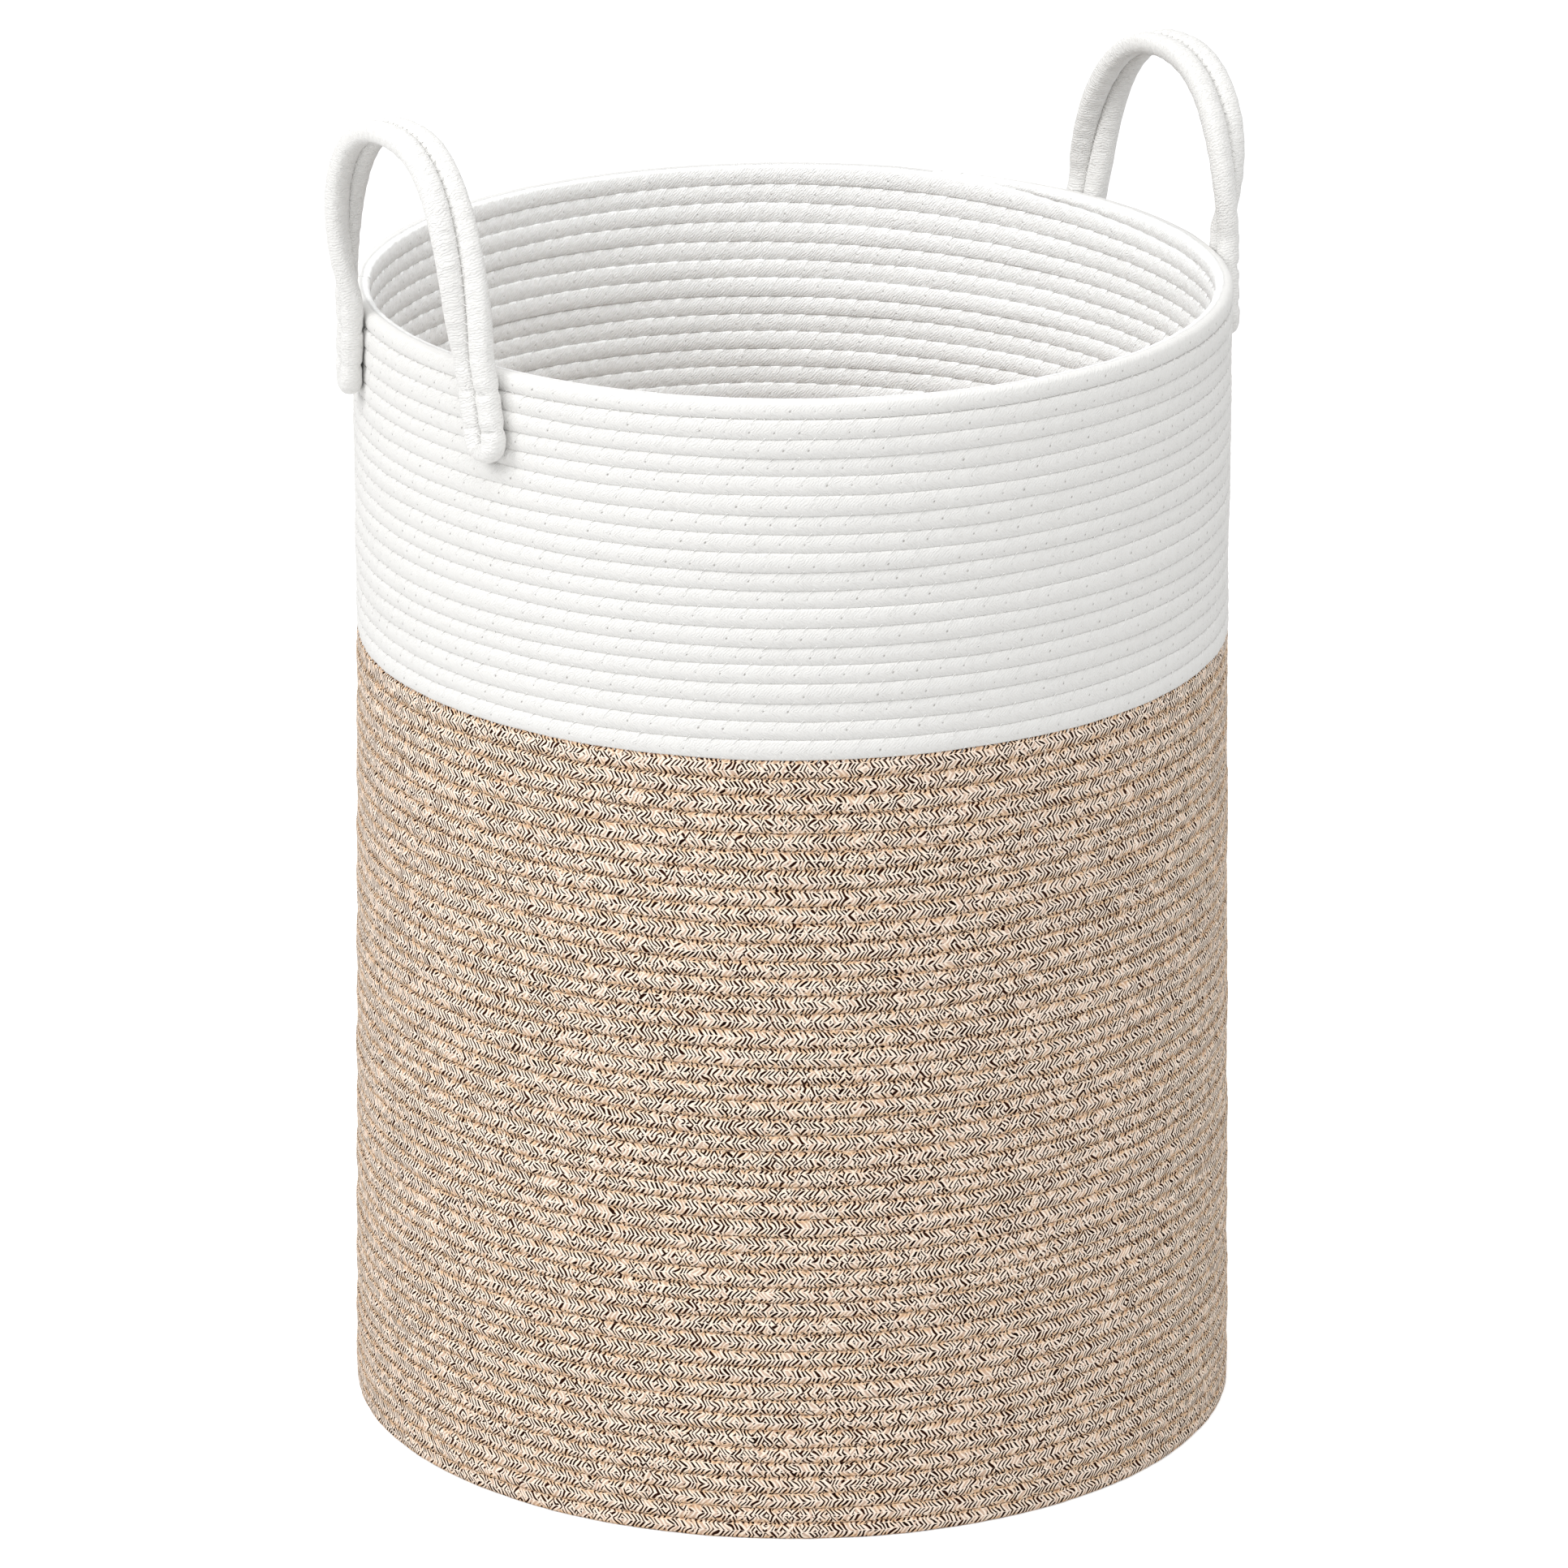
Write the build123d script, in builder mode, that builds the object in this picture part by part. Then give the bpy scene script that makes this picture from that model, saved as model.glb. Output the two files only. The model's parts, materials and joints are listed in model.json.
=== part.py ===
from build123d import *
from math import asin, cos, degrees, pi, radians, sin, sqrt
import os

os.makedirs("parts", exist_ok=True)

# A tall laundry basket of coiled and sewn cotton rope, with two doubled-rope handles.
# Millimetres. The origin is the centre of the base where it meets the floor, +Z is up,
# and the handles stand on the -X and +X sides.

# Driving sizes of the basket
height = 508.0              # floor to the top of the rim
top_diameter = 381.0        # outside, at the rim and down the white wall
wall_flare = 10.6           # how much more it is at the floor, where the wall is widest
wall_thickness = 8.0        # one rope's width
base_thickness = 8.0        # one rope's width
rim_height = 8.2            # one coil of the white rope
white_height = 155.6        # the white rope, rim included
base_edge_round = 5.0       # where the rope turns up from the base into the wall

# Driving sizes of the handles
strand_diameter = 10.4      # the handle rope, which is doubled into two strands
strand_gap = 0.4            # between the two strands, where the seam thread runs
handle_spread = 108.0       # between the middles of a handle's two legs
left_rise = 90.0            # the middle of the crown above the rim
right_rise = 77.0           # the two are sewn by hand, and this one is shorter
handle_lean = 6.0           # how far the crown leans out past the legs
arch_power = 2.3            # 2 is an ellipse, and more is squarer at the shoulders
tab_length = 40.0           # the sewn end of a leg, from the rim down
tab_splay = 8.0             # degrees that a tab leans away from its handle's other one

# Clearances and swing
seat_gap = 0.1              # a tab off the wall it is sewn to
swing_gap = 0.3             # a handle off the rim and off its tabs
swing_out = 140.0           # degrees from upright, hanging down outside
swing_spare = 4.0           # degrees of room past that, for the curve of the leg

# Worked out from the sizes above
top_radius = top_diameter / 2
bottom_radius = (top_diameter + wall_flare) / 2
strand_radius = strand_diameter / 2
strand_pitch = strand_diameter + strand_gap
junction_z = height - white_height
rim_z = height - rim_height
seat_radius = top_radius + seat_gap + strand_radius
leg_angle = degrees(asin(handle_spread / 2 / seat_radius))
pivot_x = seat_radius * cos(radians(leg_angle))
pivot_z = height + strand_radius + swing_gap
path_steps = 8


# The base: rope wound flat into a disc, with a rounded edge where it turns up the wall.
with BuildPart() as base_coil:
    Cylinder(bottom_radius, base_thickness, align=(Align.CENTER, Align.CENTER, Align.MIN))
    fillet(base_coil.edges().sort_by(Axis.Z)[0], min(base_edge_round, base_thickness * 0.9))

# The lower wall: the same mottled rope wound upwards, tapering in to the white rope.
with BuildPart() as lower_wall_coil:
    with BuildSketch(Plane.XZ):
        with BuildLine():
            Polyline(
                (bottom_radius, base_thickness),
                (top_radius, junction_z),
                (top_radius - wall_thickness, junction_z),
                (bottom_radius - wall_thickness, base_thickness),
                close=True,
            )
        make_face()
    revolve(axis=Axis.Z)

# The upper wall: white rope wound straight up on the lower wall.
with BuildPart() as upper_wall_coil:
    with BuildSketch(Plane.XY.offset(junction_z)):
        Circle(top_radius)
        Circle(top_radius - wall_thickness, mode=Mode.SUBTRACT)
    extrude(amount=rim_z - junction_z)

# The rim: the last turn of the white rope, round on top.
with BuildPart() as rim_coil:
    with BuildSketch(Plane.XY.offset(rim_z)):
        Circle(top_radius)
        Circle(top_radius - wall_thickness, mode=Mode.SUBTRACT)
    extrude(amount=rim_height)
    top_edges = rim_coil.faces().sort_by(Axis.Z)[-1].edges()
    fillet(top_edges, min(wall_thickness, rim_height) * 0.45)

for piece, name in (
    (base_coil, "base_coil"),
    (lower_wall_coil, "lower_wall_coil"),
    (upper_wall_coil, "upper_wall_coil"),
    (rim_coil, "rim_coil"),
):
    piece.part.label = name
    export_step(piece.part, f"parts/{name}.step")


def sewn_tab(side, end):
    """One end of a handle: the rope turns back on itself, flat on the outside of the wall.

    side is -1 at the left handle and 1 at the right, and end is -1 in front and 1 behind.
    The tab stops level with the rim, and its top is hollowed where the leg of the handle
    turns and swings past it.
    """
    outward = Vector(side * cos(radians(leg_angle)), end * sin(radians(leg_angle)), 0)
    along_wall = Vector(0, 0, 1).cross(outward).rotate(Axis((0, 0, 0), outward), side * end * tab_splay)
    half_pitch = strand_pitch / 2
    turn = height - tab_length + strand_radius + half_pitch - pivot_z
    hinge = outward * seat_radius + Vector(0, 0, pivot_z)
    wall = Plane(hinge, x_dir=along_wall, z_dir=outward)
    with BuildPart() as tab:
        with BuildLine(wall):
            Line((-half_pitch, 0), (-half_pitch, turn))
            ThreePointArc((-half_pitch, turn), (0, turn - half_pitch), (half_pitch, turn))
            Line((half_pitch, turn), (half_pitch, 0))
        with BuildSketch(Plane(wall.from_local_coords((-half_pitch, 0, 0)), z_dir=-wall.y_dir)):
            Circle(strand_radius)
        sweep()
        split(bisect_by=Plane.XY.offset(height), keep=Keep.BOTTOM)
        room_angle = swing_out + swing_spare
        with BuildSketch(Plane.XZ):
            with Locations(Location((side * pivot_x, pivot_z, 0), (0, 0, -side * room_angle))):
                Circle(strand_radius + swing_gap)
                Rectangle(
                    2 * (strand_radius + swing_gap), tab_length, align=(Align.CENTER, Align.MIN)
                )
        extrude(amount=height, both=True, mode=Mode.SUBTRACT)
    return tab


def strand_path(side, rise, place):
    """Points along one strand of a handle, from its front leg over the crown to its back leg.

    place is 1 for the strand outside the arch at the legs, and -1 for the one inside it.
    The pair turns a quarter turn in each leg: side by side along the wall at the legs,
    and side by side from inside to outside of the basket at the crown.
    """
    half_span = handle_spread / 2
    arch_height = rise - strand_radius - swing_gap
    points = []
    for step in range(path_steps + 1):
        turn = pi * step / path_steps
        across = -half_span * abs(cos(turn)) ** (2 / arch_power) * (1 if cos(turn) > 0 else -1)
        up = arch_height * sin(turn) ** (2 / arch_power)
        normal = Vector(
            0,
            abs(across / half_span) ** (arch_power - 1) / half_span * (1 if across > 0 else -1),
            (up / arch_height) ** (arch_power - 1) / arch_height,
        ).normalized()
        twist = pi / 2 * sin(turn) ** 2
        offset = place * strand_pitch / 2 * (normal * cos(twist) - Vector(side * sin(twist), 0, 0))
        middle = Vector(side * (pivot_x + handle_lean * (up / arch_height) ** 2), across, pivot_z + up)
        points.append(middle + offset)
    return points


def smooth_arcs(points):
    """Pairs of arcs through the points, each tangent to the next, upright at both ends."""
    tangents = [(after - before).normalized() for before, after in zip(points, points[2:])]
    tangents = [Vector(0, 0, 1), *tangents, Vector(0, 0, -1)]
    for start, end, leaving, arriving in zip(points, points[1:], tangents, tangents[1:]):
        span = end - start
        bend = 2 * (1 - leaving.dot(arriving))
        reach = span.dot(leaving + arriving)
        arm = (sqrt(reach ** 2 + bend * span.dot(span)) - reach) / bend
        halfway = (start + end + (leaving - arriving) * arm) / 2
        first_arc = TangentArc(start, halfway, tangent=leaving)
        TangentArc(halfway, end, tangent=first_arc % 1)


def handle_strand(side, rise, place):
    """One strand of a handle, with round ends that turn in place about the fold axis."""
    points = strand_path(side, rise, place)
    round_end = Vector(0, 0, strand_radius)
    with BuildPart() as strand:
        with BuildLine():
            Line(points[0] - round_end, points[0])
            smooth_arcs(points)
            Line(points[-1], points[-1] - round_end)
        with BuildSketch(Plane(points[0] - round_end, z_dir=(0, 0, 1))):
            Circle(strand_radius)
        sweep()
        ends = strand.faces().sort_by(Axis.Z)[:2]
        fillet([end.edge() for end in ends], strand_radius * 0.98)
    return strand


for side_name, side, rise in (("left", -1, left_rise), ("right", 1, right_rise)):
    for end_name, end in (("front", -1), ("back", 1)):
        tab = sewn_tab(side, end)
        tab.part.label = f"{side_name}_{end_name}_tab"
        export_step(tab.part, f"parts/{side_name}_{end_name}_tab.step")
    for place_name, place in (("outer", 1), ("inner", -1)):
        strand = handle_strand(side, rise, place)
        strand.part.label = f"{side_name}_{place_name}_strand"
        export_step(strand.part, f"parts/{side_name}_{place_name}_strand.step")
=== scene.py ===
import json
import math

import bpy
import numpy as np
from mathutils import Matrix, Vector


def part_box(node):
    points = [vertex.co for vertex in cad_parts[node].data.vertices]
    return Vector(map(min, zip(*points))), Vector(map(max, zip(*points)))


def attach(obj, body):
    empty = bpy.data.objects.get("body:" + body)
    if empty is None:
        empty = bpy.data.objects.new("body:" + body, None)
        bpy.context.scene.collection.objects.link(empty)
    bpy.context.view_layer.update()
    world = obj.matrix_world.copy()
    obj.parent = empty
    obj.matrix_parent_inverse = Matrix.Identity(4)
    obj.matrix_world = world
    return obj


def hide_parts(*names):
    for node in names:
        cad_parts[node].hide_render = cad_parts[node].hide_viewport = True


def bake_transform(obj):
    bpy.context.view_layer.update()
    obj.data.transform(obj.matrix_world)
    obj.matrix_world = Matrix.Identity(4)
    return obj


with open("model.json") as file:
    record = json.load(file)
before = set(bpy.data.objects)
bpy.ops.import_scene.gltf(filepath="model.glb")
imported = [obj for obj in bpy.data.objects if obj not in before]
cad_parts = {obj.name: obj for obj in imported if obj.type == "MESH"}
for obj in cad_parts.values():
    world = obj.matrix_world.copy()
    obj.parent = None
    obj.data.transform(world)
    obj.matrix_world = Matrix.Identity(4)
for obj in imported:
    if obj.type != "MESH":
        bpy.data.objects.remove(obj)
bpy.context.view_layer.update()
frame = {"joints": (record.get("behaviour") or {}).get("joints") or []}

# ---------------------------------------------------------------------------------------
# The base is braided cotton rope, cream mottled with brown. It is wound flat from the
# middle outwards, each turn sewn to the last one, and its outer turn runs on into the wall.

MM = 0.001
rope_width = 8.0 * MM
base_high = Vector(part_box("base_coil")[1])
bottom_radius = base_high.x
base_winding = 23.3
base_spacing = 0.995 * rope_width
base_overlap = 0.1 * MM
base_ring_spacing = 2.8 * MM
stitch_length = 10.4 * MM
first_angle = math.radians(148.5)

# The wall's turns are counted from the floor up, and those of the base from the floor back.
mottled_turns = 46
white_turns = 19
all_turns = mottled_turns + white_turns

# Where in a turn the rope climbs a level, and over how much of the turn. It climbs sooner
# and more steeply the nearer it is to the rim, over the last few turns.
climb_middle, climb_spread = 0.75, 0.5
rim_climb_middle, rim_climb_spread, rim_climb_turns = 0.637, 0.12, 8


def climbed(turns):
    """How many levels the rope has climbed: it is level in front and climbs at the back."""
    whole = np.floor(turns)
    near_rim = np.clip((whole - all_turns + 1) / rim_climb_turns + 1, 0, 1)
    middle = climb_middle + (rim_climb_middle - climb_middle) * near_rim
    spread = climb_spread + (rim_climb_spread - climb_spread) * near_rim
    rise = np.clip((turns - whole - middle) / spread + 0.5, 0, 1)
    return whole + rise * rise * (3 - 2 * rise)


def turn_angle(turns):
    """Where around the basket the rope has come to, in radians."""
    return first_angle + 2 * math.pi * turns


def outward_at(angle):
    """The way straight out from the middle of the basket, at each angle around it."""
    return np.stack([np.cos(angle), np.sin(angle), 0 * angle], -1)


def put(name, data):
    """A new object in the scene."""
    thing = bpy.data.objects.new(name, data)
    bpy.context.scene.collection.objects.link(thing)
    return thing


def rope_mesh(name, rings, closed=False):
    """A rope through the given rings, joined end to end or capped flat at both ends.

    rings holds each ring's centre, its two half axes and its places for the sewing. The
    section is a rounded square, flat where turns touch. Each corner of a face keeps two
    vectors, with lengths in millimetres. rope is the length along, the distance around and
    the closeness to the seam. stitch is the stitches sewn so far, the height over the
    needle holes, and the way it faces, 1 outwards and -1 inwards.
    """
    centre, half_out, half_up = rings["centre"], rings["out"], rings["up"]
    count, around = len(centre), rings.get("around", 12)
    power = 2 / rings.get("squareness", 3.0)
    angles = np.linspace(0, 2 * math.pi, around + 1) - math.pi / 2
    cos, sin = np.cos(angles), np.sin(angles)
    flat_out = np.sign(cos) * np.abs(cos) ** power
    flat_up = np.sign(sin) * np.abs(sin) ** power
    puff = rings["puff"](angles) if "puff" in rings else np.ones((count, around + 1))
    ring = centre[:, None] + (half_out[:, None] * flat_out[None, :, None]) * puff[..., None]
    ring = ring + half_up[:, None] * flat_up[None, :, None]
    points = ring[:, :-1].reshape(-1, 3)

    row = np.arange(count if closed else count - 1)
    column = np.arange(around)
    first = row[:, None] * around + column
    after = ((row + 1) % count)[:, None] * around + column
    faces = np.stack([first, after, np.roll(after, -1, 1), np.roll(first, -1, 1)], -1)
    corners = faces.ravel()
    starts = np.arange(0, len(corners), 4)
    if not closed:
        corners = np.concatenate([corners, column, column[::-1] + (count - 1) * around])
        starts = np.concatenate([starts, starts[-1:] + 4, starts[-1:] + 4 + around])

    mesh = bpy.data.meshes.new(name)
    mesh.vertices.add(len(points))
    mesh.vertices.foreach_set("co", points.astype(np.float32).ravel())
    mesh.loops.add(len(corners))
    mesh.loops.foreach_set("vertex_index", corners.astype(np.int32))
    mesh.polygons.add(len(starts))
    mesh.polygons.foreach_set("loop_start", starts.astype(np.int32))
    mesh.polygons.foreach_set("use_smooth", np.ones(len(starts), bool))
    mesh.update(calc_edges=True)

    ring_row = np.stack([row, row + 1, row + 1, row], -1)[:, None, :].repeat(around, 1)
    ring_column = np.stack([column, column, column + 1, column + 1], -1)[None].repeat(len(row), 0)
    last_row = np.minimum(ring_row, count - 1)
    lengths = rings["along"]
    along = np.append(lengths, lengths[-1] * 2 - lengths[-2])[ring_row]
    distance_around = (angles * rings["girth_radius"])[ring_column]
    up_place = flat_up[ring_column]
    from_hole = up_place * np.linalg.norm(half_up, axis=1)[last_row]
    if "hole" in rings:
        from_hole = from_hole - rings["hole"][last_row]
    sewn = rings["sewn"][last_row] if "sewn" in rings else along / stitch_length
    seam = np.abs(up_place)
    if "sewn_down" in rings:
        seam = seam * rings["sewn_down"][last_row]
    rope = np.stack([along / MM, distance_around / MM, seam], -1).reshape(-1, 3)
    stitch = np.stack([sewn, from_hole / MM, flat_out[ring_column]], -1).reshape(-1, 3)
    for label, values in (("rope", rope), ("stitch", stitch)):
        if not closed:
            values = np.concatenate([values, np.zeros((2 * around, 3))])
        attribute = mesh.attributes.new(label, "FLOAT_VECTOR", "CORNER")
        attribute.data.foreach_set("vector", values.astype(np.float32).ravel())
    return put(name, mesh)


def base_radius(turns):
    """How far out the middle of the base's rope lies."""
    return bottom_radius - rope_width / 2 + base_spacing * climbed(turns)


# The rings are spaced evenly along the rope, so its length is first measured in fine steps.
fine_turns = np.linspace(-base_winding, 0.0, 9000)
fine_steps = np.diff(fine_turns) * 2 * math.pi * base_radius(fine_turns)[1:]
fine_length = np.concatenate([[0], np.cumsum(fine_steps)])
base_along = np.linspace(0, fine_length[-1], int(fine_length[-1] / base_ring_spacing))
base_turns = np.interp(base_along, fine_length, fine_turns)
base_out = outward_at(turn_angle(base_turns))
base_up = np.array([0, 0, 1.0])[None].repeat(len(base_out), 0)
base = rope_mesh("base_rope", {
    "centre": base_out * base_radius(base_turns)[:, None] + base_up * base_high.z / 2,
    "out": base_up * base_high.z / 2,
    "up": -base_out * (rope_width / 2 + base_overlap),
    "along": base_along - base_along[-1],
    "girth_radius": rope_width / 2,
    "sewn_down": np.clip(-base_turns - 0.9, 0.5, 1),
})


def add(tree, kind, inputs=(), **settings):
    """One shader node, with its inputs given as values or as other nodes' outputs."""
    node = tree.nodes.new("ShaderNode" + kind)
    for key, value in settings.items():
        setattr(node, key, value)
    for key, value in dict(inputs).items():
        if isinstance(value, bpy.types.NodeSocket):
            tree.links.new(value, node.inputs[key])
        else:
            node.inputs[key].default_value = value
    return node


def sums(tree, operation, a, b=0.0, c=0.0):
    """One step of arithmetic."""
    return add(tree, "Math", {0: a, 1: b, 2: c}, operation=operation).outputs[0]


def band(tree, value, low, high, out_low=0.0, out_high=1.0):
    """A soft step from out_low to out_high as value goes from low to high."""
    return add(tree, "MapRange", {0: value, 1: low, 2: high, 3: out_low, 4: out_high},
               interpolation_type="SMOOTHSTEP").outputs[0]


def join(tree, x, y, z=0.0):
    """A place made of its parts."""
    return add(tree, "CombineXYZ", {0: x, 1: y, 2: z}).outputs[0]


def split(tree, vector):
    """The three parts of a place or a colour."""
    return add(tree, "SeparateXYZ", {0: vector}).outputs


def kept_place(tree, label):
    """The three parts of a vector that the mesh keeps."""
    return split(tree, add(tree, "Attribute", attribute_name=label).outputs["Vector"])


def patchy(tree, place, scale, detail, output="Fac"):
    """Soft uneven patches, as one number or, with output Color, as three."""
    return add(tree, "TexNoise", {"Vector": place, "Scale": scale, "Detail": detail},
               noise_dimensions="2D").outputs[output]


def blend_colours(tree, factor, first, second):
    """The first colour where factor is 0, and the second one where it is 1."""
    return add(tree, "Mix", {0: factor, 6: first, 7: second}, data_type="RGBA").outputs[2]


def new_material(name, roughness, sheen, specular=0.2):
    """A material, with its shader tree and its surface."""
    material = bpy.data.materials.new(name)
    material.use_nodes = True
    surface = material.node_tree.nodes["Principled BSDF"]
    surface.inputs["Roughness"].default_value = roughness
    surface.inputs["Sheen Weight"].default_value = sheen
    surface.inputs["Specular IOR Level"].default_value = specular
    return material, material.node_tree, surface


def new_group(name, inputs, outputs):
    """An empty node group whose sockets are numbers, with its inside inputs and outputs."""
    group = bpy.data.node_groups.new(name, "ShaderNodeTree")
    for label, value in inputs.items():
        socket = group.interface.new_socket(label, in_out="INPUT", socket_type="NodeSocketFloat")
        socket.default_value = value
    for label in outputs:
        group.interface.new_socket(label, in_out="OUTPUT", socket_type="NodeSocketFloat")
    inside_inputs = group.nodes.new("NodeGroupInput").outputs
    return group, inside_inputs, group.nodes.new("NodeGroupOutput").inputs


# Twisted yarns: fine slanting ridges, uneven and a little fuzzy, used on every cotton rope.
# It also marks the hollows between the yarns, where the white ropes get painted shade.
twist, twist_in, twist_out = new_group(
    "Cotton twist",
    {"Along": 0.0, "Around": 0.0, "Yarn spacing": 1.3, "Slant": 0.9, "Ridges": 0.22},
    ["Height", "Hollow shade"],
)
lumps = patchy(twist, join(twist, twist_in["Along"], twist_in["Around"]), 0.4, 2.0)
slanted = sums(twist, "MULTIPLY", twist_in["Around"], twist_in["Slant"])
run = sums(twist, "SUBTRACT", twist_in["Along"], slanted)
loose_run = sums(twist, "MULTIPLY_ADD", lumps, 2.4, run)
fibre_place = join(twist, loose_run, sums(twist, "MULTIPLY", twist_in["Around"], 0.65))
fuzz = patchy(twist, fibre_place, 0.95, 2.5)
ridge_place = sums(twist, "DIVIDE", loose_run, twist_in["Yarn spacing"])
ridge = sums(twist, "SINE", sums(twist, "MULTIPLY", ridge_place, 2 * math.pi))
ridge = sums(twist, "MULTIPLY_ADD", ridge, 0.5, 0.5)
yarn_height = add(twist, "Mix", {0: twist_in["Ridges"], 2: fuzz, 3: ridge}).outputs[0]
yarn_height = sums(twist, "MULTIPLY_ADD", lumps, 0.45, yarn_height)
twist.links.new(yarn_height, twist_out["Height"])
# The hollows between the yarns, where the white ropes get painted shade.
twist.links.new(band(twist, yarn_height, 0.86, 0.50), twist_out["Hollow shade"])


def twisted_yarn(tree, along, around, spacing, slant, ridges):
    """The twist placed in one material: its height, and how deep in a hollow it is, for painted shade in
    the hollows.
    """
    yarn = add(tree, "Group", {"Along": along, "Around": around, "Yarn spacing": spacing,
                               "Slant": slant, "Ridges": ridges}, node_tree=twist)
    return yarn.outputs["Height"], yarn.outputs["Hollow shade"]


def dress(tree, surface, colour, relief, depth):
    """Give the surface its colour, and a relief of the given depth in metres."""
    tree.links.new(colour, surface.inputs["Base Color"])
    bump = add(tree, "Bump", {"Height": relief, "Strength": 0.8, "Distance": depth})
    tree.links.new(bump.outputs[0], surface.inputs["Normal"])


# The mottled rope: cream yarn braided with single dark brown strands, which show as short
# slanting dashes in rows. The rows lean to and fro like a herringbone, and every so often
# the pattern turns over. Near the seams it turns tan, partly tan yarn and partly painted
# shade. Lengths are in millimetres.
mottled, tree, surface = new_material("mottled braid", 0.95, 0.0, 0.04)
cream, tan = (0.95, 0.83, 0.715, 1), (0.79, 0.56, 0.36, 1)
# The seam brown is partly brown stain and partly painted shade in the groove between turns.
beside_brown, seam_brown_and_shade = (0.40, 0.20, 0.11, 1), (0.20, 0.09, 0.045, 1)
darkest, brownest = (0.006, 0.001, 0.0, 1), (0.03, 0.008, 0.004, 1)
row_height, dash_spacing, dash_lean, turned_every = 3.1, 2.0, 2.5, 13.0

along, girth, seam = kept_place(tree, "rope")
height_on_rope = kept_place(tree, "stitch")[1]
loose = join(tree, sums(tree, "MULTIPLY", along, 0.13), sums(tree, "MULTIPLY", girth, 0.16))
drift = split(tree, patchy(tree, loose, 0.9, 1.0, "Color"))
stretch = sums(tree, "MULTIPLY_ADD", drift[2], 5.0, sums(tree, "DIVIDE", along, turned_every))
stretch = sums(tree, "FLOOR", stretch)
turned = add(tree, "TexWhiteNoise", {"W": stretch}, noise_dimensions="1D").outputs["Value"]
turned = sums(tree, "GREATER_THAN", turned, 0.68)
row_place = sums(tree, "MULTIPLY_ADD", drift[0], 1.8, sums(tree, "SUBTRACT", height_on_rope, 0.9))
row_place = sums(tree, "ADD", sums(tree, "DIVIDE", row_place, row_height), turned)
row = sums(tree, "FLOOR", row_place)
zigzag = sums(tree, "PINGPONG", row_place, 1.0)
dash_place = sums(tree, "MULTIPLY_ADD", zigzag, dash_lean, along)
dash_place = sums(tree, "MULTIPLY_ADD", drift[1], 1.8, dash_place)
dash_place = sums(tree, "MULTIPLY_ADD", patchy(tree, loose, 2.2, 0.0), 1.5, dash_place)
dash_place = sums(tree, "DIVIDE", dash_place, dash_spacing)

# Each dash has its own width, length and shade, and some are missing.
dash = sums(tree, "FLOOR", dash_place)
chance = add(tree, "TexWhiteNoise", {"Vector": join(tree, dash, row, stretch)},
             noise_dimensions="3D").outputs["Color"]
chance = split(tree, chance)
from_dash = sums(tree, "ABSOLUTE", sums(tree, "SUBTRACT", sums(tree, "FRACT", dash_place), 0.5))
dash_width = sums(tree, "MULTIPLY_ADD", chance[0], 0.13, 0.14)
crosswise = band(tree, from_dash, sums(tree, "ADD", dash_width, 0.04), dash_width)
from_row = sums(tree, "ABSOLUTE", sums(tree, "SUBTRACT", sums(tree, "FRACT", row_place), 0.5))
half_length = sums(tree, "MULTIPLY_ADD", chance[2], 0.2, 0.36)
lengthwise = band(tree, from_row, sums(tree, "ADD", half_length, 0.05), half_length)
clusters = patchy(tree, loose, 2.6, 1.0)
missing = band(tree, clusters, 0.66, 0.40, 0.04, 0.3)
present = sums(tree, "GREATER_THAN", chance[1], missing)
dark = sums(tree, "MULTIPLY", sums(tree, "MULTIPLY", crosswise, lengthwise), present)
beside_dash = band(tree, from_dash, sums(tree, "ADD", dash_width, 0.14), dash_width)
stained = sums(tree, "MULTIPLY", sums(tree, "MULTIPLY", beside_dash, lengthwise), 0.6)

# The yarn is tan in patches, mostly towards the seams, where the tan is partly yarn colour and
# partly painted shade. At the seams it is brown, partly stain and partly painted shade in the groove.
patches = patchy(tree, loose, 2.3, 2.0)
tan_and_seam_shade = band(tree, patches, 0.35, 0.6, 0.3, 0.95)
# Towards the seams the tan is partly the yarn's colour and partly painted shade.
tan_and_seam_shade = sums(tree, "MULTIPLY", band(tree, seam, 0.3, 0.8), tan_and_seam_shade)
tan_and_seam_shade = sums(tree, "ADD", tan_and_seam_shade, band(tree, patches, 0.5, 0.75, 0.0, 0.3))
# At the seams: painted shade in the groove, with some brown stain.
seam_stain_and_shade = band(tree, clusters, 0.42, 0.62, 0.1, 0.6)
seam_stain_and_shade = sums(tree, "MULTIPLY", band(tree, seam, 0.74, 0.86), seam_stain_and_shade)
yarn = blend_colours(tree, sums(tree, "MINIMUM", tan_and_seam_shade, 1.0), cream, tan)
yarn = blend_colours(tree, stained, yarn, beside_brown)
yarn = blend_colours(tree, seam_stain_and_shade, yarn, seam_brown_and_shade)
dark_colour = blend_colours(tree, chance[2], darkest, brownest)
yarn_height = twisted_yarn(tree, along, girth, 0.8, 0.9, 0.22)[0]
relief = sums(tree, "MULTIPLY", yarn_height, 0.4)
relief = sums(tree, "SUBTRACT", relief, sums(tree, "MULTIPLY", dark, 0.6))
dress(tree, surface, blend_colours(tree, dark, yarn, dark_colour), relief, 0.3 * MM)

base.data.materials.append(mottled)
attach(base, "basket")
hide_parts("base_coil")

# ---------------------------------------------------------------------------------------
# The lower wall is more of the mottled rope, wound straight up. Each turn lies on the last
# one and is sewn to it, so its underside has the shape of that one's top. It climbs a level
# at the back of the basket, and the wall tapers in as it rises.

wall_high = Vector(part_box("lower_wall_coil")[1])
rim_high = Vector(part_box("rim_coil")[1])
join_height = wall_high.z
height = rim_high.z
top_radius = rim_high.x
stitches_per_turn = 115.37
pressed_together = 0.42 * MM
tip_half_height, full_half_height = 0.3 * MM, 2.6 * MM
uneven_height, uneven_depth, uneven_bumps = 0.42 * MM, 0.35 * MM, 0.17 * MM

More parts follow.
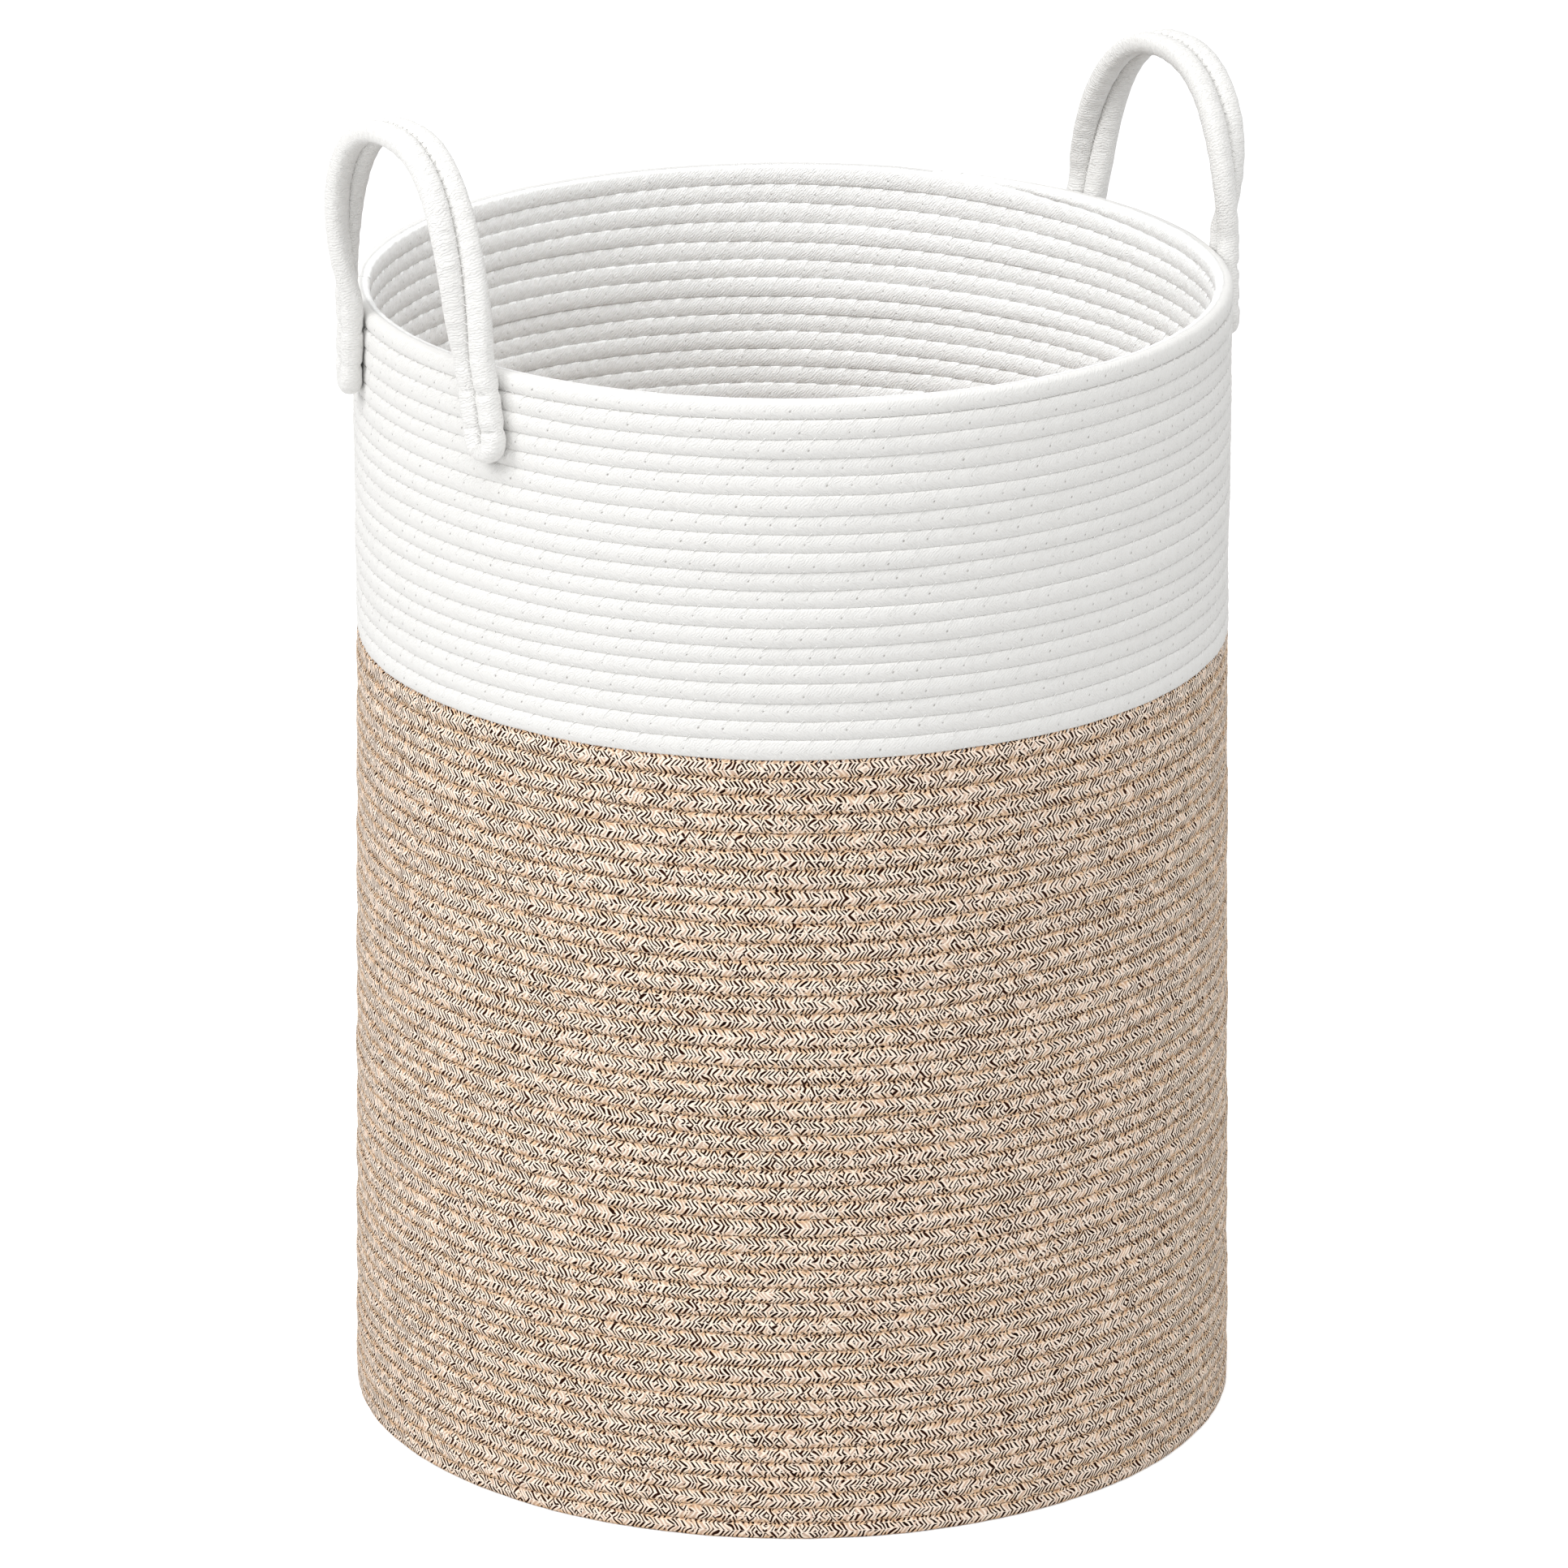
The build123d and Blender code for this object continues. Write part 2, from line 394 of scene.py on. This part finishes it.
# Between stitches the rope swells, and the thread pinches it in at each stitch.
swollen, fuller_inside = 1.03, 0.09
pinch_outside, pinch_inside, pinch_length, pinch_lean = 0.05, 0.11, 0.2, 0.22

# The level of each turn's top. The mottled turns grow thicker on the way up.
thinnest_turn, thickest_turn = 7.10, 8.25
mottled_levels = np.cumsum(np.linspace(thinnest_turn, thickest_turn, mottled_turns))
mottled_levels *= join_height / mottled_levels[-1]
white_levels = np.linspace(join_height, height, white_turns + 1)[1:]
levels = np.concatenate([[0.0], mottled_levels, white_levels])


def waver(turns, seed, pitches=(0.31, 0.83, 1.7, 2.9, 5.3)):
    """A smooth, uneven number between about -1 and 1 that drifts along the rope."""
    phases = np.random.default_rng(seed).uniform(0, 2 * math.pi, len(pitches))
    waves = [np.sin(2 * math.pi * p * turns + f) for p, f in zip(pitches, phases)]
    return sum(waves) / len(pitches) * 1.6


def top_of_turn(turns):
    """The height of the rope's top, which is also the underside of the next turn."""
    level = np.interp(climbed(turns) + 1, np.arange(len(levels)), levels)
    uneven = uneven_height * waver(turns, 3) * np.clip(all_turns - 0.9 - turns, 0, 1)
    return np.clip(level + uneven * np.clip(turns + 1, 0, 1), 0, height)


def wall_radius(z):
    """The outside of the wall: it tapers in up to the white rope, and then goes straight up."""
    return np.interp(z, [0, join_height], [bottom_radius, top_radius])


def hole_height(turns):
    """Needle holes lie at about half height, a little higher or lower from turn to turn."""
    return 0.9 * MM * waver(turns, 11, (0.17, 0.29, 0.41)) - 0.2 * MM


def set_in(turns):
    """How far the rope lies inside the plain wall: each turn wanders a little in and out."""
    bumps = uneven_bumps * waver(turns, 6, (9.7, 17.3, 31.1, 53.9))
    return uneven_depth * (0.8 - waver(turns, 5)) - bumps


def wall_rings(first_turn, last_turn, squareness, steps_per_turn):
    """The rings of the wall's rope from one turn count to another."""
    turns = np.linspace(first_turn, last_turn, int((last_turn - first_turn) * steps_per_turn) + 1)
    top = np.minimum(top_of_turn(turns) + pressed_together, height)
    under = np.maximum(top_of_turn(turns - 1) - pressed_together, 0)
    middle = (top + under) / 2
    half = np.maximum((top - under) / 2, tip_half_height)
    thickness = rope_width / 2 * np.clip(half / full_half_height, 0.25, 1)
    radius = wall_radius(middle) - rope_width / 2 - set_in(turns)
    outward = outward_at(turn_angle(turns))
    sewn = turns * stitches_per_turn

    def puff(angles):
        """The rope swells between stitches, most of all inside the basket."""
        side = np.cos(angles)[None, :]
        lean = np.sin(angles)[None, :] * pinch_lean
        from_stitch = (sewn[:, None] + 0.5 + np.sign(side) * lean) % 1 - 0.5
        pinch = np.exp(-(from_stitch / pinch_length) ** 2)
        pinch = pinch * np.where(side > 0, pinch_outside, pinch_inside) * np.abs(side)
        fuller = np.where(side < 0, fuller_inside, 0.0) * np.sin(angles)[None, :] ** 2
        return swollen + fuller - pinch

    return {
        "centre": outward * radius[:, None] + np.stack([0 * middle, 0 * middle, middle], -1),
        "out": outward * thickness[:, None],
        "up": np.stack([0 * half, 0 * half, half], -1),
        "along": turns * 2 * math.pi * top_radius,
        "girth_radius": rope_width / 2,
        "squareness": squareness,
        "hole": hole_height(turns),
        "sewn": sewn,
        "puff": puff,
    }


white_start = mottled_turns - 0.15
lower_wall = rope_mesh("lower_wall_rope", wall_rings(0.0, white_start, 5.5, 432))
lower_wall.data.materials.append(mottled)
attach(lower_wall, "basket")
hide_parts("lower_wall_coil")

# ---------------------------------------------------------------------------------------
# The white wall and the rim are plain white cotton rope, loosely twisted and wound on up
# from the mottled rope. A needle hole shows at each stitch, in the middle of the rope. The
# last turn is the rim, and its end is tapered and sewn down.

rim_start = all_turns - 1.0
rim_end = rim_start + 0.695
upper_wall = rope_mesh("upper_wall_rope", wall_rings(white_start, rim_start, 5.0, 1008))
rim = rope_mesh("rim_rope", wall_rings(rim_start, rim_end, 3.0, 1008))

white, tree, surface = new_material("white cotton rope", 0.92, 0.1)
# The rope is the same inside and out. The lighter inside colour is painted light that makes up for the
# shade inside the basket.
white_outside, white_inside_painted_light = (0.765, 0.76, 0.745, 1), (0.965, 0.97, 0.965, 1)
white_hollow_shade, hole_shade = (0.72, 0.705, 0.675, 1), (0.26, 0.24, 0.21, 1)

# The yarns lean both ways from the needle holes outside, and one way inside.
along = kept_place(tree, "rope")[0]
sewn, from_hole, side = kept_place(tree, "stitch")
inside = band(tree, side, 0.1, -0.3)
lay = sums(tree, "ABSOLUTE", from_hole)
lay = sums(tree, "SUBTRACT", lay, sums(tree, "MULTIPLY", inside, sums(tree, "ADD", lay, from_hole)))
yarn_height, yarn_hollow_shade = twisted_yarn(tree, along, lay, 1.5, 0.9, 0.3)

# A hole at each stitch, some wider than others, in a shallow dimple. The hole is painted dark: painted
# shade for its depth.
hole_chance = add(tree, "TexWhiteNoise", {"W": sums(tree, "FLOOR", sewn)},
                  noise_dimensions="1D").outputs["Value"]
beside_hole = sums(tree, "SUBTRACT", sums(tree, "FRACT", sewn), 0.5)
beside_hole = sums(tree, "MULTIPLY", beside_hole, stitch_length / MM)
beside_hole = sums(tree, "SUBTRACT", beside_hole, sums(tree, "MULTIPLY", from_hole, 0.4))
hole_place = join(tree, beside_hole, sums(tree, "MULTIPLY", from_hole, 0.75))
hole_distance = add(tree, "VectorMath", {0: hole_place}, operation="LENGTH").outputs["Value"]
hole_size = sums(tree, "MULTIPLY_ADD", hole_chance, 0.3, -0.22)
hole = band(tree, hole_distance, sums(tree, "ADD", hole_size, 0.5), hole_size)
dimple = band(tree, hole_distance, 1.6, 0.2)

# Lighter inside than outside: painted light.
clean = blend_colours(tree, inside, white_outside, white_inside_painted_light)
# Painted shade darkens the rope in the hollows between its yarns.
clean = blend_colours(tree, sums(tree, "MULTIPLY", yarn_hollow_shade, 0.35), clean, white_hollow_shade)
hole_shown = sums(tree, "MULTIPLY", hole, band(tree, inside, 0.0, 1.0, 0.7, 0.2))
# The dark needle holes are painted shade.
holed = blend_colours(tree, hole_shown, clean, hole_shade)
coarser_inside = sums(tree, "MULTIPLY_ADD", inside, 0.15, 0.9)
relief = sums(tree, "MULTIPLY", yarn_height, coarser_inside)
relief = sums(tree, "SUBTRACT", relief, sums(tree, "MULTIPLY", dimple, 0.4))
relief = sums(tree, "SUBTRACT", relief, hole)
dress(tree, surface, holed, relief, 0.4 * MM)

for piece, node in ((upper_wall, "upper_wall_coil"), (rim, "rim_coil")):
    piece.data.materials.append(white)
    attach(piece, "basket")
    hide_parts(node)

# ---------------------------------------------------------------------------------------
# The seam thread is a zigzag of cotton that joins each turn to the one below, outside and
# inside, white above and tan below. It comes out of a needle hole, crosses the seam and goes
# into the next turn, so that each stitch shows as one clear slash and one faint one.

seam_thickness = 0.34 * MM
stitch_slant = 0.34
white_reach, tan_reach = 1.5 * MM, 1.6 * MM
groove_depth, groove_width = 0.35 * MM, 0.8 * MM


def unit(vectors):
    """Each vector made one long."""
    return vectors / np.linalg.norm(vectors, axis=-1, keepdims=True)


def thread_mesh(name, strands, thickness):
    """Thin three-sided threads through the given runs of points."""
    vertices, faces, first = [], [], 0
    for points, normals in strands:
        direction = unit(np.gradient(points, axis=0))
        sideways = unit(np.cross(normals, direction))
        outward = np.cross(direction, sideways)
        ring = [points + thickness / 2 * (math.sin(a) * outward + math.cos(a) * sideways)
                for a in (math.radians(90), math.radians(210), math.radians(330))]
        vertices.append(np.stack(ring, 1).reshape(-1, 3))
        row = np.arange(len(points) - 1)[:, None] * 3 + np.arange(3)[None] + first
        beside = np.roll(row, -1, 1)
        faces.append(np.stack([row, beside, beside + 3, row + 3], -1).reshape(-1, 4))
        first += len(vertices[-1])
    vertices, faces = np.concatenate(vertices), np.concatenate(faces)
    mesh = bpy.data.meshes.new(name)
    mesh.from_pydata(vertices.tolist(), [], faces.tolist())
    mesh.polygons.foreach_set("use_smooth", np.ones(len(faces), bool))
    return put(name, mesh)


def seam_thread(first_turn, last_turn, side, reach):
    """The zigzag over the seam on top of the rope from one turn to another.

    Each slash has six points, from under the seam to over it: how high they lie, and how
    deep they are sunk in the rope on the clear slash and on the faint one.
    """
    rise = np.array([-1.25, -0.9, -0.4, 0.2, 0.55, 0.8]) * reach
    clear = np.array([0.7, 0.02, -0.08, -0.08, 0.02, 0.7]) * MM
    faint = np.array([0.8, 0.2, 0.08, 0.08, 0.2, 0.8]) * MM
    slant = side * np.linspace(0, stitch_slant, len(rise))
    stitches = np.arange(int(first_turn * stitches_per_turn), int(last_turn * stitches_per_turn))
    sewn = stitches[:, None, None] + 0.5 + np.stack([slant, 0.5 + slant])[None]
    across = np.stack([rise, rise[::-1]])[None].repeat(len(stitches), 0)
    sunk = np.stack([clear, faint])[None].repeat(len(stitches), 0)
    sewn, across, sunk = (values.reshape(-1) for values in (sewn, across, sunk))

    turns = sewn / stitches_per_turn
    z = top_of_turn(turns) + across
    groove = groove_depth * np.exp(-(across / groove_width) ** 2)
    on_next = np.clip(0.5 + across / (2 * MM), 0, 1)
    inwards = set_in(turns) * (1 - on_next) + set_in(turns + 1) * on_next
    if side > 0:
        radius = wall_radius(z) - inwards - sunk - groove
    else:
        radius = wall_radius(z) - inwards - rope_width + sunk + groove
    outward = outward_at(turn_angle(turns))
    return outward * radius[:, None] + np.array([0, 0, 1.0]) * z[:, None], outward * side


def thread_material(name, colour):
    """Plain sewing cotton."""
    material, _, surface = new_material(name, 0.8, 0.1)
    surface.inputs["Base Color"].default_value = colour
    return material


white_thread = thread_material("white thread", (0.87, 0.865, 0.85, 1))
tan_thread = thread_material("tan thread", (0.93, 0.78, 0.60, 1))
seam_change = mottled_turns - 1.0
for name, first_turn, last_turn, material, slot, reach in (
    ("white_seam_thread", seam_change, all_turns - 1.45, white_thread, "white_rope", white_reach),
    ("tan_seam_thread", 0.3, seam_change, tan_thread, "mottled_rope", tan_reach),
):
    runs = [seam_thread(first_turn, last_turn, side, reach) for side in (1, -1)]
    piece = thread_mesh(name, runs, seam_thickness)
    piece.data.materials.append(material)
    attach(piece, "basket")

# ---------------------------------------------------------------------------------------
# Each handle is a closed loop of thick white rope, pressed together into a flat double
# strap and sewn down the middle. Its ends lie flat on the outside of the wall, sewn through
# it twice, and the strap turns a quarter turn in each leg, so that it lies flat in the hand.

joints = {joint["name"]: joint for joint in frame["joints"]}
tab_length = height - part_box("right_front_tab")[0][2]
tab_splay = math.radians(8)
tab_press = 0.6 * MM
tab_steps, bow_steps, foot_steps = 25, 121, 8
strand_gap = 0.4 * MM
pressed = 0.95
handle_ring_spacing = 1.3 * MM
handle_stitch = 8.0 * MM
handle_thread = 0.42 * MM
tack_heights = (height - 8 * MM, height - 24 * MM)
tack_thread, tack_spacing, tack_passes, tack_points = 0.5 * MM, 0.45 * MM, 4, 17
tack_dent, tack_dent_width = 0.22, 1.3 * MM

# Each is sewn on by hand, so it has its own curve: how far it leans out at the crown and
# bulges at the shoulders, how far those are pushed forward, and how square they are.
curves = {
    "left": {"lean": 4.4 * MM, "bulge": 2.8 * MM, "push": 0.0, "power": 2.46},
    "right": {"lean": 6.8 * MM, "bulge": 0.1 * MM, "push": -2.7 * MM, "power": 2.3},
}

handle_material, tree, surface = new_material("white handle rope", 0.92, 0.1)
handle_white, handle_hollow_shade = (0.785, 0.78, 0.765, 1), (0.66, 0.645, 0.615, 1)
along, girth, _ = kept_place(tree, "rope")
yarn_height, yarn_hollow_shade = twisted_yarn(tree, along, girth, 1.3, 0.2, 0.3)
# Painted shade darkens the rope in the hollows between its yarns.
colour = blend_colours(tree, sums(tree, "MULTIPLY", yarn_hollow_shade, 0.25), handle_white, handle_hollow_shade)
dress(tree, surface, colour, yarn_height, 0.6 * MM)


def lengths_along(points):
    """How far along the points each one lies."""
    return np.concatenate([[0], np.cumsum(np.linalg.norm(np.diff(points, axis=0), axis=1))])


def vectors_at(place, places, vectors):
    """The vectors at the given places, worked out from those at others."""
    return np.stack([np.interp(place, places, vectors[:, k]) for k in range(3)], -1)


def handle_strap(side_name):
    """The strap's middle from one tab over the crown to the other, and its ways across and out."""
    pivot = Vector(joints[f"{side_name}_handle_fold"]["pos_m"])
    side = math.copysign(1, pivot.x)
    outer_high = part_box(f"{side_name}_outer_strand")[1]
    inner_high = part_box(f"{side_name}_inner_strand")[1]
    strand = outer_high[1] - inner_high[1] - strand_gap
    half_span = inner_high[1] + strand_gap / 2
    arch = max(outer_high[2], inner_high[2]) - strand / 2 - pivot.z
    curve = curves[side_name]
    power = curve["power"]

    # The bow, from its front leg over the crown to its back leg.
    turn = np.linspace(0, math.pi, bow_steps)
    risen = np.abs(np.sin(turn)) ** (2 / power)
    across = -half_span * np.sign(np.cos(turn)) * np.abs(np.cos(turn)) ** (2 / power)
    shoulder = 4 * risen * (1 - risen)
    out = abs(pivot.x) + curve["lean"] * risen ** 2 + curve["bulge"] * shoulder
    bow = np.stack([side * out, across + curve["push"] * shoulder, pivot.z + arch * risen], -1)
    steepness = np.sign(across) * np.abs(across / half_span) ** (power - 1) / half_span
    normal = unit(np.stack([0 * turn, steepness, risen ** (power - 1) / arch], -1))
    quarter = math.pi / 2 * (risen * (2 - risen))[:, None]
    leg_angle = math.atan2(half_span, abs(pivot.x))
    along_wall = np.array([[side * math.sin(leg_angle), 0, 0]]) * ((1 - risen) ** 2)[:, None]
    bow_width = normal * np.cos(quarter) - np.array([side, 0, 0]) * np.sin(quarter)
    bow_width = unit(bow_width - along_wall)

    # The tabs, splayed apart and pressed against the wall.
    drop = np.linspace(0, 1, tab_steps + 1)[1:]
    bottom = height - tab_length + strand
    seat = abs(pivot.x) / math.cos(leg_angle) - tab_press * np.minimum(1, 3 * drop)
    middles, widths = [bow], [bow_width]
    for end in (-1, 1):
        angle = end * (leg_angle + math.tan(tab_splay) * tab_length * drop / top_radius)
        z = pivot.z + (bottom - pivot.z) * drop
        tab = np.stack([side * seat * np.cos(angle), seat * np.sin(angle), z], -1)
        tab_width = np.stack([-side * np.sin(angle), np.cos(angle), 0 * angle], -1) * end
        if end < 0:
            middles.insert(0, tab[::-1])
            widths.insert(0, tab_width[::-1])
        else:
            middles.append(tab)
            widths.append(tab_width)
    middle, width = np.concatenate(middles), np.concatenate(widths)
    outward = side * unit(np.cross(np.gradient(middle, axis=0), width))
    return {"middle": middle, "width": width, "outward": outward, "strand": strand, "pivot": pivot}


def handle_rope(name, strap):
    """One closed loop of rope along both edges of the strap, bent round at the foot of each tab."""
    radius = strap["strand"] / 2
    half_pitch = radius * pressed
    middle, width, outward = strap["middle"], strap["width"], strap["outward"]
    bend = np.linspace(0, math.pi, foot_steps + 2)[1:-1, None]
    down = np.array([[0, 0, -1.0]])
    path, outs = [], []
    for edge, foot in ((1, -1), (-1, 0)):
        path.append((middle + width * half_pitch * edge)[::edge])
        outs.append(outward[::edge])
        round_foot = edge * width[foot] * np.cos(bend) + down * np.sin(bend)
        path.append(middle[foot] + half_pitch * round_foot)
        outs.append(outward[foot] + 0 * round_foot)
    path, outs = np.concatenate(path), np.concatenate(outs)

    # Rings set evenly along the loop, with its corners eased.
    length = lengths_along(np.concatenate([path, path[:1]]))
    even = np.linspace(0, length[-1], int(length[-1] / handle_ring_spacing))[:-1]
    path, outs = vectors_at(even, length[:-1], path), vectors_at(even, length[:-1], outs)
    for _ in range(3):
        path = (np.roll(path, 1, 0) + 2 * path + np.roll(path, -1, 0)) / 4
    direction = unit(np.roll(path, -1, 0) - np.roll(path, 1, 0))
    outs = unit(outs - direction * (outs * direction).sum(1, keepdims=True))
    tacked = sum(np.exp(-((path[:, 2] - z) / tack_dent_width) ** 2) for z in tack_heights)
    uneven = 0.03 * waver(even / (60 * MM), 21) + 0.025 * np.sin(2 * math.pi * even / handle_stitch)
    return rope_mesh(name, {
        "centre": path,
        "out": outs * (radius * (0.9 + uneven - tack_dent * tacked))[:, None],
        "up": np.cross(direction, outs) * radius,
        "along": even,
        "girth_radius": radius,
        "squareness": 2.5,
        "around": 16,
    }, closed=True)


def over_strap(strap, place, across, face, lift):
    """Points on the strap's surface: place along it, and the distance across it, both in metres."""
    places = lengths_along(strap["middle"])
    middle, width, outward = (vectors_at(place, places, strap[key])
                              for key in ("middle", "width", "outward"))
    radius = strap["strand"] / 2
    from_edge = (np.abs(across) - radius * pressed) / radius
    high = 0.9 * radius * np.clip(1 - np.abs(from_edge) ** 2.5, 0, 1) ** 0.4
    points = middle + width * across[:, None] + outward * (face * (high + lift))[:, None]
    return points, outward * face


for side_name in ("left", "right"):
    strap = handle_strap(side_name)
    solids = [f"{side_name}_{part}" for part in ("front_tab", "back_tab", "outer_strand", "inner_strand")]
    loop = handle_rope(f"{side_name}_handle", strap)
    loop.data.materials.append(handle_material)
    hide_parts(*solids)

    # A zigzag joins the two ropes down the middle, wide on the outer face of the strap and
    # narrow on the inner one, where it stops at the rim.
    places = lengths_along(strap["middle"])
    tab_run, whole = places[tab_steps], places[-1]
    runs = []
    for face, wide, start, end in (
        (1, 2.6 * MM, 2 * MM, whole - 2 * MM),
        (-1, 1.0 * MM, tab_run, whole - tab_run),
    ):
        stitches = np.arange(start, end, handle_stitch / 2)
        place_along = (stitches[:, None] + np.array([0, 0.8, 2.0, 3.2]) * MM).ravel()
        slash = np.array([-1.0, -0.5, 0.5, 1.0]) * wide
        zigzag = np.concatenate([slash if k % 2 else -slash for k in range(len(stitches))])
        lift = np.tile(np.array([-0.9, -0.2, -0.2, -0.9]) * MM, len(stitches))
        runs.append(over_strap(strap, place_along, zigzag, face, lift))
    thread = thread_mesh(f"{side_name}_handle_thread", runs, handle_thread)
    thread.data.materials.append(white_thread)
    for piece in (loop, thread):
        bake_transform(piece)

    # Bars of thread over each tab hold it to the wall.
    bars = []
    across = np.linspace(-1, 1, tack_points) * strap["strand"] * 0.97
    lean = np.linspace(-0.3, 0.3, tack_points) * MM
    lift = np.full(tack_points, -0.9 * MM)
    for z in tack_heights:
        up_tab = np.interp(z, strap["middle"][:tab_steps, 2], places[:tab_steps])
        for foot in (0, whole):
            for number in range(tack_passes):
                at = up_tab + (number - (tack_passes - 1) / 2) * tack_spacing
                bars.append(over_strap(strap, abs(foot - at) + lean, across, 1, lift))
    tack = thread_mesh(f"{side_name}_tack_stitches", bars, tack_thread)
    tack.data.materials.append(white_thread)
    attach(tack, "basket")

# ---------------------------------------------------------------------------------------
# The floor, the lights and the camera. The basket stands on white paper, lit by two large
# soft lamps and a white room.


def seen_straight(tree):
    """1 where the paper or the room is what shows, and 0 where it only gives light."""
    rays = add(tree, "LightPath").outputs
    mirrored = sums(tree, "MAXIMUM", rays["Is Glossy Ray"], rays["Is Transmission Ray"])
    return sums(tree, "MAXIMUM", rays["Is Camera Ray"], mirrored)


floor_mesh = bpy.data.meshes.new("floor")
floor_mesh.from_pydata([(-6, -6, 0), (6, -6, 0), (6, 6, 0), (-6, 6, 0)], [], [(0, 1, 2, 3)])
floor = put("floor", floor_mesh)
paper, tree, surface = new_material("white paper floor", 1.0, 0.0, 0.0)
surface.inputs["Base Color"].default_value = (0.8, 0.8, 0.8, 1)
glow_strength = sums(tree, "MULTIPLY", seen_straight(tree), 0.45)
glow = add(tree, "Emission", {"Color": (1, 1, 1, 1), "Strength": glow_strength})
both = add(tree, "AddShader", {0: surface.outputs[0], 1: glow.outputs[0]})
tree.links.new(both.outputs[0], tree.nodes["Material Output"].inputs["Surface"])
floor_mesh.materials.append(paper)

world = bpy.data.worlds.new("studio")
bpy.context.scene.world = world
world.use_nodes = True
tree = world.node_tree
air = tree.nodes["Background"]
air.inputs["Color"].default_value = (1, 1, 1, 1)
tree.links.new(sums(tree, "MULTIPLY_ADD", seen_straight(tree), 0.25, 0.75), air.inputs["Strength"])

aim = Vector((0, 0, 0.250))
camera_azimuth, camera_elevation = math.radians(-31.3), math.radians(19.41)
camera_distance = 3.962
shift_right, shift_up = -0.0036, 0.02465
toward = Vector((math.sin(camera_azimuth) * math.cos(camera_elevation),
                 -math.cos(camera_azimuth) * math.cos(camera_elevation),
                 math.sin(camera_elevation)))
right = Vector((math.cos(camera_azimuth), math.sin(camera_azimuth), 0))
above = toward.cross(right)


def soft_lamp(name, across, up, out, size, energy):
    """A soft lamp to the right of, above and in front of the basket, as the camera sees it."""
    light = bpy.data.lights.new(name, "AREA")
    light.shape = "DISK"
    light.size = size
    light.energy = energy
    lamp = put(name, light)
    forward = Vector((toward.x, toward.y, 0)).normalized()
    lamp.location = aim + right * across + Vector((0, 0, up)) + forward * out
    lamp.rotation_euler = (aim - lamp.location).to_track_quat("-Z", "Y").to_euler()


soft_lamp("key", -1.9, 2.0, 1.0, 1.6, 36)
soft_lamp("top", 0.2, 2.7, 1.4, 2.2, 34)

camera_data = bpy.data.cameras.new("camera")
camera_data.lens = 206.2
camera_data.sensor_width = 36
camera_data.clip_end = 50
camera = put("camera", camera_data)
camera.location = aim + toward * camera_distance
look_at = aim + above * shift_up + right * shift_right
camera.rotation_euler = (look_at - camera.location).to_track_quat("-Z", "Y").to_euler()
bpy.context.scene.camera = camera
bpy.context.scene.view_settings.view_transform = "Standard"
